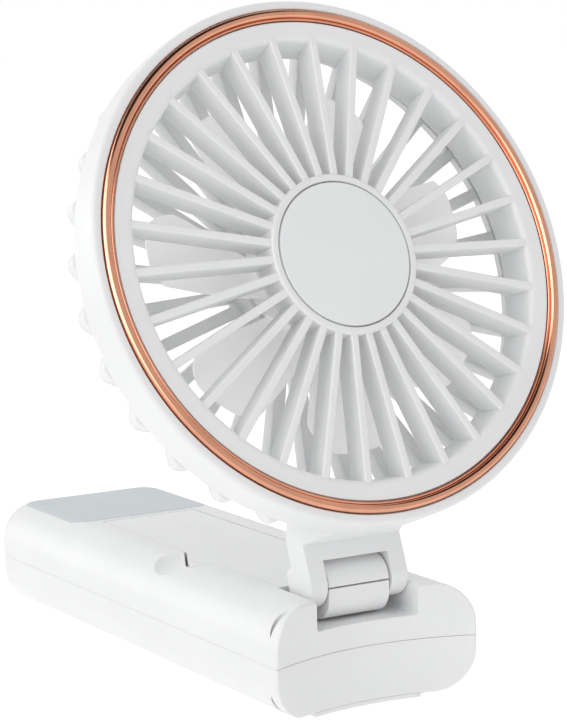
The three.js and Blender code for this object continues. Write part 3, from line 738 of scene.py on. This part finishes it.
def build_handle():
    piece("front_case", front_shell(), "handle", "white_plastic", WHITE, ["front_shell"])
    piece("back_case", back_shell(), "handle", "white_plastic", WHITE, ["back_shell"])
    piece("front_plate", front_panel(), "handle", "grey_plastic", WHITE, ["front_panel"])
    piece("label_film", label_film(), "handle", "label", LABEL, ["spec_label"])
    piece("door", battery_door(), "handle", "white_plastic", WHITE, ["battery_door"])
    piece("key", power_button(), "power_button", "grey_plastic", GREY, ["power_button"])


# The hinge.
def knuckle(low, high):
    """The slot-shaped knuckle between two heights."""
    top = arc((HINGE.y, HINGE.z), KNUCKLE_RADIUS, 0, 180, 32)
    bottom = arc((HINGE.y, HINGE.z - KNUCKLE_DROP), KNUCKLE_RADIUS, 180, 360, 32)
    whole = prism(top + bottom, "X", -KNUCKLE_HALF, KNUCKLE_HALF)
    slab = block(-20, 20, -60, -36, low, high)
    return combined(whole, "INTERSECT", slab)


def pin_bore():
    return prism(arc((HINGE.y, HINGE.z), PIN_RADIUS + PIN_GAP, 0, 350, 35), "X", -20, 20)


def hinge_block():
    floor = RECESS_FLOOR + 0.05
    foot = block(-KNUCKLE_HALF, KNUCKLE_HALF, HINGE.y + 1, RECESS_BACK - 0.1, floor, FOOT_TOP)
    lower = combined(knuckle(0, HINGE.z), "UNION", foot)
    return softened(cut(lower, pin_bore()), 0.3, 40)


def hinge_cap():
    return softened(cut(knuckle(HINGE.z + KNUCKLE_SEAM, 40), pin_bore()), 0.3, 40)


def build_hinge():
    piece("knuckle_lower", hinge_block(), "handle", "white_plastic", WHITE, ["hinge_block"])
    piece("knuckle_upper", hinge_cap(), "handle", "white_plastic", WHITE, ["hinge_block_cap"])


# The head, in its own frame.
def around(solid, degrees):
    """A copy of a solid that lies along +X, turned about the depth axis."""
    turned_copy = solid.copy()
    turned_copy.transform(Matrix.Rotation(-math.radians(degrees), 4, "Y"))
    return turned_copy


def rim():
    seat_in = TRIM_INSIDE - TRIM_GAP
    seat_out = TRIM_OUTSIDE + TRIM_GAP
    corners = [
        (42.0, MOUTH_DEPTH, 0.15),
        (MOUTH_RADIUS, 0.0, 1.3),
        (seat_in, TRIM_EDGE, 0.22),
        (seat_in, TRIM_SEAT, 0),
        (seat_out, TRIM_SEAT, 0),
        (seat_out, TRIM_EDGE, 0.22),
        (RIM_RADIUS, 0.0, 1.15),
        (RIM_RADIUS, RIM_DEPTH, 0.2),
        (RIM_RADIUS - RIM_WALL, RIM_DEPTH, 0),
        (RIM_RADIUS - RIM_WALL, RIM_FACE_BACK, 0),
        (45.0, RIM_FACE_BACK, 0),
        (43.6, MOUTH_DEPTH, 0.15),
    ]
    return turned(filleted(corners, 6), 240)


def hub():
    inside = HUB_RADIUS - HUB_WALL
    corners = [
        (inside, HUB_FLOOR_FRONT, 0),
        (inside, HUB_FRONT, 0.2),
        (HUB_RADIUS, HUB_FRONT, 0.5),
        (HUB_RADIUS, HUB_BACK, 0.15),
        (inside, HUB_BACK, 0.15),
        (inside, HUB_FLOOR_BACK, 0),
    ]
    return turned(filleted(corners, 5), 160)


def hub_floor():
    """The disc that closes the hub, behind the cap."""
    edge = HUB_RADIUS - HUB_WALL + 0.1
    outline = [(0, HUB_FLOOR_FRONT), (edge, HUB_FLOOR_FRONT), (edge, HUB_FLOOR_BACK), (0, HUB_FLOOR_BACK)]
    return turned(outline, 64)


def spoke():
    side = [(14.9, -1.45), (44.7, 0.2), (43.1, 5.6), (14.9, 4.4)]
    blank = prism(side, "Z", -SPOKE_WIDTH / 2, SPOKE_WIDTH / 2)
    return softened(blank, 0.36, 35, 3)


def front_cage():
    one = spoke()
    spokes = [around(one, 360 / SPOKES * k) for k in range(SPOKES)]
    return joined(rim(), hub(), hub_floor(), *spokes)


def trim_ring():
    """A thin flat band inside a half-round bead, with a groove between them."""
    middle = TRIM_OUTSIDE - BEAD_HALF
    bead = [(middle + BEAD_HALF * p.x, TRIM_EDGE - BEAD_HEIGHT * p.y) for p in arc((0, 0), 1, 175, 0, 16)]
    band = [(0.0, 0.05), (0.08, -0.08), (0.2, -0.12), (0.42, -0.1), (0.5, 0.0), (0.54, 0.14)]
    face = [(TRIM_INSIDE + out, depth) for out, depth in band]
    return turned([(TRIM_INSIDE, TRIM_BACK)] + face + bead + [(TRIM_OUTSIDE, TRIM_BACK)], 240)


def hub_cap():
    """A disc whose face is very slightly domed."""
    corners = [(0, -1.93), (6, -1.91), (11, -1.86), (CAP_RADIUS - 0.3, -1.8), (CAP_RADIUS - 0.08, -1.72)]
    corners += [(CAP_RADIUS, -1.5), (CAP_RADIUS, CAP_BACK), (0, CAP_BACK)]
    return turned(corners, 160)


def rear_ring():
    """A flat ring behind the rim, with a collar that the rear guard fits over."""
    corners = [
        (REAR_RING_INSIDE, REAR_RING_FRONT, 0.1),
        (REAR_RING_OUTSIDE, REAR_RING_FRONT, 0.3),
        (REAR_RING_OUTSIDE, 8.9, 0.5),
        (COLLAR_OUTSIDE, 8.9, 0),
        (COLLAR_OUTSIDE, COLLAR_BACK, 0),
        (COLLAR_INSIDE, COLLAR_BACK, 0),
        (COLLAR_INSIDE, 8.8, 0),
        (REAR_RING_INSIDE, 8.8, 0.1),
    ]
    return turned(filleted(corners, 4), 240)


def neck_side():
    """The neck and its ears seen from the side, as (depth, height) points."""
    depth, height = EAR_CENTRE
    back = math.degrees(math.acos((NECK_BACK - depth) / EAR_RADIUS))
    ear = arc((0, 0), 1, 180, 360 + back, 40)
    side = [(NECK_ROOT, NECK_TOP), (NECK_ROOT, NECK_UNDER + 0.8), (NECK_FRONT, NECK_UNDER)]
    side += [(depth + p.x * EAR_RADIUS, height + p.y * EAR_BELOW) for p in ear]
    side += [(NECK_BACK, NECK_UNDER + 2), (NECK_BACK - 1.6, NECK_TOP - 1.4), (12.6, NECK_TOP)]
    return prism(side, "X", -EAR_OUTSIDE, EAR_OUTSIDE)


def neck_plan():
    """The neck seen from above, narrow at the rim and wide at the ears."""
    rear = EAR_CENTRE[0] + EAR_RADIUS
    corners = [
        (-NECK_NARROW, NECK_ROOT, 0),
        (NECK_NARROW, NECK_ROOT, 0),
        (EAR_OUTSIDE, NECK_FRONT, 0),
        (EAR_OUTSIDE, rear, EAR_CORNER),
        (-EAR_OUTSIDE, rear, EAR_CORNER),
        (-EAR_OUTSIDE, NECK_FRONT, 0),
    ]
    return prism(filleted(corners, 8), "Z", -80, NECK_TOP + 1)


def knuckle_room():
    """The slot between the ears, in which the knuckle turns."""
    depth, height = EAR_CENTRE
    clear = KNUCKLE_RADIUS + 0.35
    reach = 12
    outline = [Vector((depth - reach, height - reach)), Vector((depth + reach, height - reach))]
    outline += [Vector((depth + reach, height))]
    outline += arc((depth + KNUCKLE_DROP, height), clear, 0, 90, 12)
    outline += arc((depth - KNUCKLE_DROP, height), clear, 90, 180, 12)
    outline += [Vector((depth - reach, height))]
    return prism(outline, "X", -EAR_INSIDE, EAR_INSIDE)


def neck():
    whole = combined(neck_side(), "INTERSECT", neck_plan())
    air = turned([(0, 8), (AIR_RADIUS, 8), (AIR_RADIUS, 40), (0, 40)], 120)
    bore = prism(arc(EAR_CENTRE, PIN_RADIUS + PIN_GAP, 0, 350, 35), "X", -10.2, 10.2)
    return softened(cut(whole, knuckle_room(), air, bore), 0.35, 35, 3)


def rear_housing():
    return joined(rear_ring(), neck())


def bump(angle, radius, depth):
    """How far the rear guard's knobs stand out: one at the end of each rib, but none at the neck."""
    step = 360 / RIBS
    degrees = math.degrees(angle) % 360
    away = abs((degrees % step) - step / 2) / BUMP_HALF_ANGLE
    if away >= 1 or abs(degrees - NECK_ANGLE) < NECK_HALF_ANGLE or radius < BUMP_FOOT + 0.1:
        return 0.0
    crown = (0.5 + 0.5 * math.cos(away * math.pi)) ** 0.6
    foot = min(1.0, max(0.0, depth - GUARD_FRONT))
    past = max(0.0, depth - BUMP_TAIL_START) / BUMP_TAIL_LENGTH
    tail = math.sqrt(max(0.0, 1 - past**2))
    crest = BUMP_FOOT + (BUMP_RADIUS - BUMP_FOOT) * tail
    return max(0.0, crest - radius) * crown * foot


def guard_ring():
    inner = [(46.0, 14.4), (46.0, 12.9), (48.35, 12.9)]
    return turned(GUARD_OUTLINE + inner, 900, bump)


def rib():
    side = [(13.7, 17.4), (45.6, 11.9), (46.4, 13.2), (48.6, 13.2), (48.6, 15.0), (47.6, 15.75), (13.7, 21.0)]
    return softened(prism(side, "Z", -RIB_WIDTH / 2, RIB_WIDTH / 2), 0.45, 30, 3)


def motor_cup():
    """The cup that holds the motor, with vents round its wall."""
    corners = [
        (0, CUP_FLOOR, 0),
        (CUP_INSIDE, CUP_FLOOR, 0),
        (CUP_INSIDE, CUP_FRONT, 0.2),
        (CUP_RADIUS, CUP_FRONT, 0.3),
        (CUP_RADIUS, CUP_BACK, 1.0),
        (0, CUP_BACK, 0),
    ]
    cup = turned(filleted(corners, 5), 120)
    half = math.tan(math.radians(VENT_HALF_ANGLE)) * CUP_RADIUS
    vent = block(CUP_RADIUS - 4, CUP_RADIUS + 2, 14.6, 17.6, -half, half)
    return cut(cup, *[around(vent, VENT_START + 360 / VENTS * k) for k in range(VENTS)])


def rear_guard():
    one = rib()
    angles = [360 / RIBS * (k + 0.5) for k in range(RIBS)]
    return joined(guard_ring(), motor_cup(), *[around(one, angle) for angle in angles])


def blade_point(u, v, side):
    """A point of the blade's front (side -1) or back (side 1): u along the chord, v outwards from the hub."""
    rounding = 1 - 0.16 * max(0.0, 1 - u / 0.45) ** 2.5
    rounding *= 1 - 0.05 * max(0.0, (u - 0.7) / 0.3) ** 2
    reach = BLADE_TIP * rounding
    radius = IMPELLER_HUB - BLADE_SINK + (reach - IMPELLER_HUB + BLADE_SINK) * v
    angle = math.radians(BLADE_START + BLADE_SKEW * (1 - v) ** 2 + BLADE_CHORD * u * (1.35 - 0.35 * v))
    rise = BLADE_RISE - 0.2 * v
    edge = min(u, 1 - u, 0.5 - abs(v - 0.5) + 0.5 * (v < 0.5))
    thick = BLADE_THICKNESS * (1.3 - 0.5 * v) * min(1.0, 0.45 + 6 * max(edge, 0.0))
    depth = BLADE_BACK + rise * (1 - u) + 0.55 + side * thick / 2
    return radius * math.cos(angle), depth, radius * math.sin(angle)


def blade():
    """A curved blade between two skins, closed all round its edge."""
    across, out = 24, 16
    solid = bmesh.new()
    skins = []
    for side in (-1, 1):
        grid = []
        for j in range(out + 1):
            grid.append([solid.verts.new(blade_point(i / across, j / out, side)) for i in range(across + 1)])
        skins.append(grid)
        for j in range(out):
            for i in range(across):
                solid.faces.new((grid[j][i], grid[j][i + 1], grid[j + 1][i + 1], grid[j + 1][i]))
    front, back = skins
    edge_walk = [(0, i) for i in range(across)] + [(j, across) for j in range(out)]
    edge_walk += [(out, i) for i in range(across, 0, -1)] + [(j, 0) for j in range(out, 0, -1)]
    for (j, i), (next_j, next_i) in zip(edge_walk, edge_walk[1:] + edge_walk[:1]):
        solid.faces.new((front[j][i], front[next_j][next_i], back[next_j][next_i], back[j][i]))
    bmesh.ops.recalc_face_normals(solid, faces=solid.faces)
    return solid


def impeller():
    inside = IMPELLER_HUB - IMPELLER_WALL
    corners = [
        (0, IMPELLER_FRONT, 0),
        (IMPELLER_HUB, IMPELLER_FRONT, 1.6),
        (IMPELLER_HUB, IMPELLER_BACK, 0.2),
        (inside, IMPELLER_BACK, 0.2),
        (inside, 7.4, 0.6),
        (0, 7.4, 0),
    ]
    one = blade()
    blades = [around(one, 360 / BLADES * k) for k in range(BLADES)]
    return joined(turned(filleted(corners, 6), 120), *blades)


def build_head():
    white = ("white_plastic", WHITE)
    piece("front_cage", front_cage(), "head", *white, ["front_grille"], HEAD)
    piece("trim_band", trim_ring(), "head", "rose_gold", ROSE_GOLD, ["trim_ring"], HEAD, 60)
    piece("centre_cap", hub_cap(), "head", "grey_plastic", GREY, ["hub_cap"], HEAD)
    piece("rear_frame", rear_housing(), "head", *white, ["rear_housing"], HEAD)
    piece("rear_guard", rear_guard(), "head", *white, ["rear_grille"], HEAD)
    piece("fan_rotor", impeller(), "impeller", "blade_plastic", MILKY, ["impeller"], HEAD, 40)


# The camera, the floor and the lights.
def build_camera():
    azimuth, elevation, roll = (math.radians(a) for a in (CAMERA_AZIMUTH, CAMERA_ELEVATION, CAMERA_ROLL))
    level_back = math.cos(elevation)
    back = Vector((math.sin(azimuth) * level_back, -math.cos(azimuth) * level_back, math.sin(elevation)))
    level = Vector((math.cos(azimuth), math.sin(azimuth), 0))
    right = math.cos(roll) * level + math.sin(roll) * back.cross(level)
    up = back.cross(right)
    camera = bpy.data.objects.new("camera", bpy.data.cameras.new("camera"))
    camera.data.lens = CAMERA_LENS
    camera.data.clip_end = 20
    turn = Matrix((right, up, back)).transposed().to_4x4()
    camera.matrix_world = Matrix.Translation((Vector(CAMERA_AIM) + back * CAMERA_DISTANCE) * MM) @ turn
    bpy.context.scene.collection.objects.link(camera)
    bpy.context.scene.camera = camera


def build_floor():
    """A pale floor that shines a little, so that it hardly takes a shadow."""
    material, tree, shader, place = nodes_of("pale_floor")
    varied_colour(tree, noise(tree, place, 0.4), shader, (0.3, 0.3, 0.3), 0.005)
    shader.inputs["Roughness"].default_value = 0.9
    shader.inputs["Emission Color"].default_value = (1, 1, 1, 1)
    seen = tree.nodes.new("ShaderNodeLightPath").outputs["Is Camera Ray"]
    glow = smooth_step(tree, seen, (0.0, 1.0), (FLOOR_GLOW, FLOOR_GLOW_SEEN))
    tree.links.new(glow, shader.inputs["Emission Strength"])
    solid = bmesh.new()
    bmesh.ops.create_grid(solid, x_segments=1, y_segments=1, size=6)
    mesh = bpy.data.meshes.new("floor")
    solid.to_mesh(mesh)
    mesh.materials.append(material)
    floor = bpy.data.objects.new("floor", mesh)
    bpy.context.scene.collection.objects.link(floor)


def area_light(name, place, target, size, power):
    light = bpy.data.objects.new(name, bpy.data.lights.new(name, "AREA"))
    light.data.size = size
    light.data.energy = power
    light.location = place
    light.rotation_euler = (Vector(target) - Vector(place)).to_track_quat("-Z", "Y").to_euler()
    bpy.context.scene.collection.objects.link(light)


def reflected_light(tree, height):
    """What reflections see: a dark ceiling, and a wide bright screen on the left."""
    below_ceiling = smooth_step(tree, height.outputs["Z"], (0.74, 0.86), (1.0, REFLECTED_CEILING))
    screen = smooth_step(tree, height.outputs["X"], (-0.12, -0.42), (REFLECTED_WALLS, REFLECTED_SCREEN))
    product = tree.nodes.new("ShaderNodeMath")
    product.operation = "MULTIPLY"
    tree.links.new(below_ceiling, product.inputs[0])
    tree.links.new(screen, product.inputs[1])
    return product.outputs["Value"]


def build_world():
    """Soft light from all round, stronger from above, in front of a white backdrop."""
    world = bpy.data.worlds.new("studio")
    world.use_nodes = True
    tree = world.node_tree
    direction = tree.nodes.new("ShaderNodeTexCoord").outputs["Generated"]
    height = tree.nodes.new("ShaderNodeSeparateXYZ")
    tree.links.new(direction, height.inputs["Vector"])
    sky = map_range(tree, height.outputs["Z"], (0.0, 0.9), (SKY_AT_HORIZON, SKY_ABOVE))
    rays = tree.nodes.new("ShaderNodeLightPath")
    mirrored = tree.nodes.new("ShaderNodeMix")
    tree.links.new(rays.outputs["Is Glossy Ray"], mirrored.inputs["Factor"])
    tree.links.new(sky, mirrored.inputs["A"])
    tree.links.new(reflected_light(tree, height), mirrored.inputs["B"])
    strength = tree.nodes.new("ShaderNodeMix")
    tree.links.new(rays.outputs["Is Camera Ray"], strength.inputs["Factor"])
    tree.links.new(mirrored.outputs["Result"], strength.inputs["A"])
    strength.inputs["B"].default_value = 1.0
    background = tree.nodes["Background"]
    background.inputs["Color"].default_value = (1, 1, 1, 1)
    tree.links.new(strength.outputs["Result"], background.inputs["Strength"])
    bpy.context.scene.world = world


def build_light():
    build_world()
    area_light("left_key", place=(-0.95, -0.2, 0.38), target=(0, 0, 0.05), size=0.6, power=2.0)
    area_light("back_glow", place=(0.3, 0.75, 0.8), target=(0, 0, 0.09), size=0.8, power=1.3)
    bpy.context.scene.view_settings.view_transform = "Standard"


build_camera()
dress_cad_nodes()
build_handle()
build_hinge()
build_head()
build_floor()
build_light()
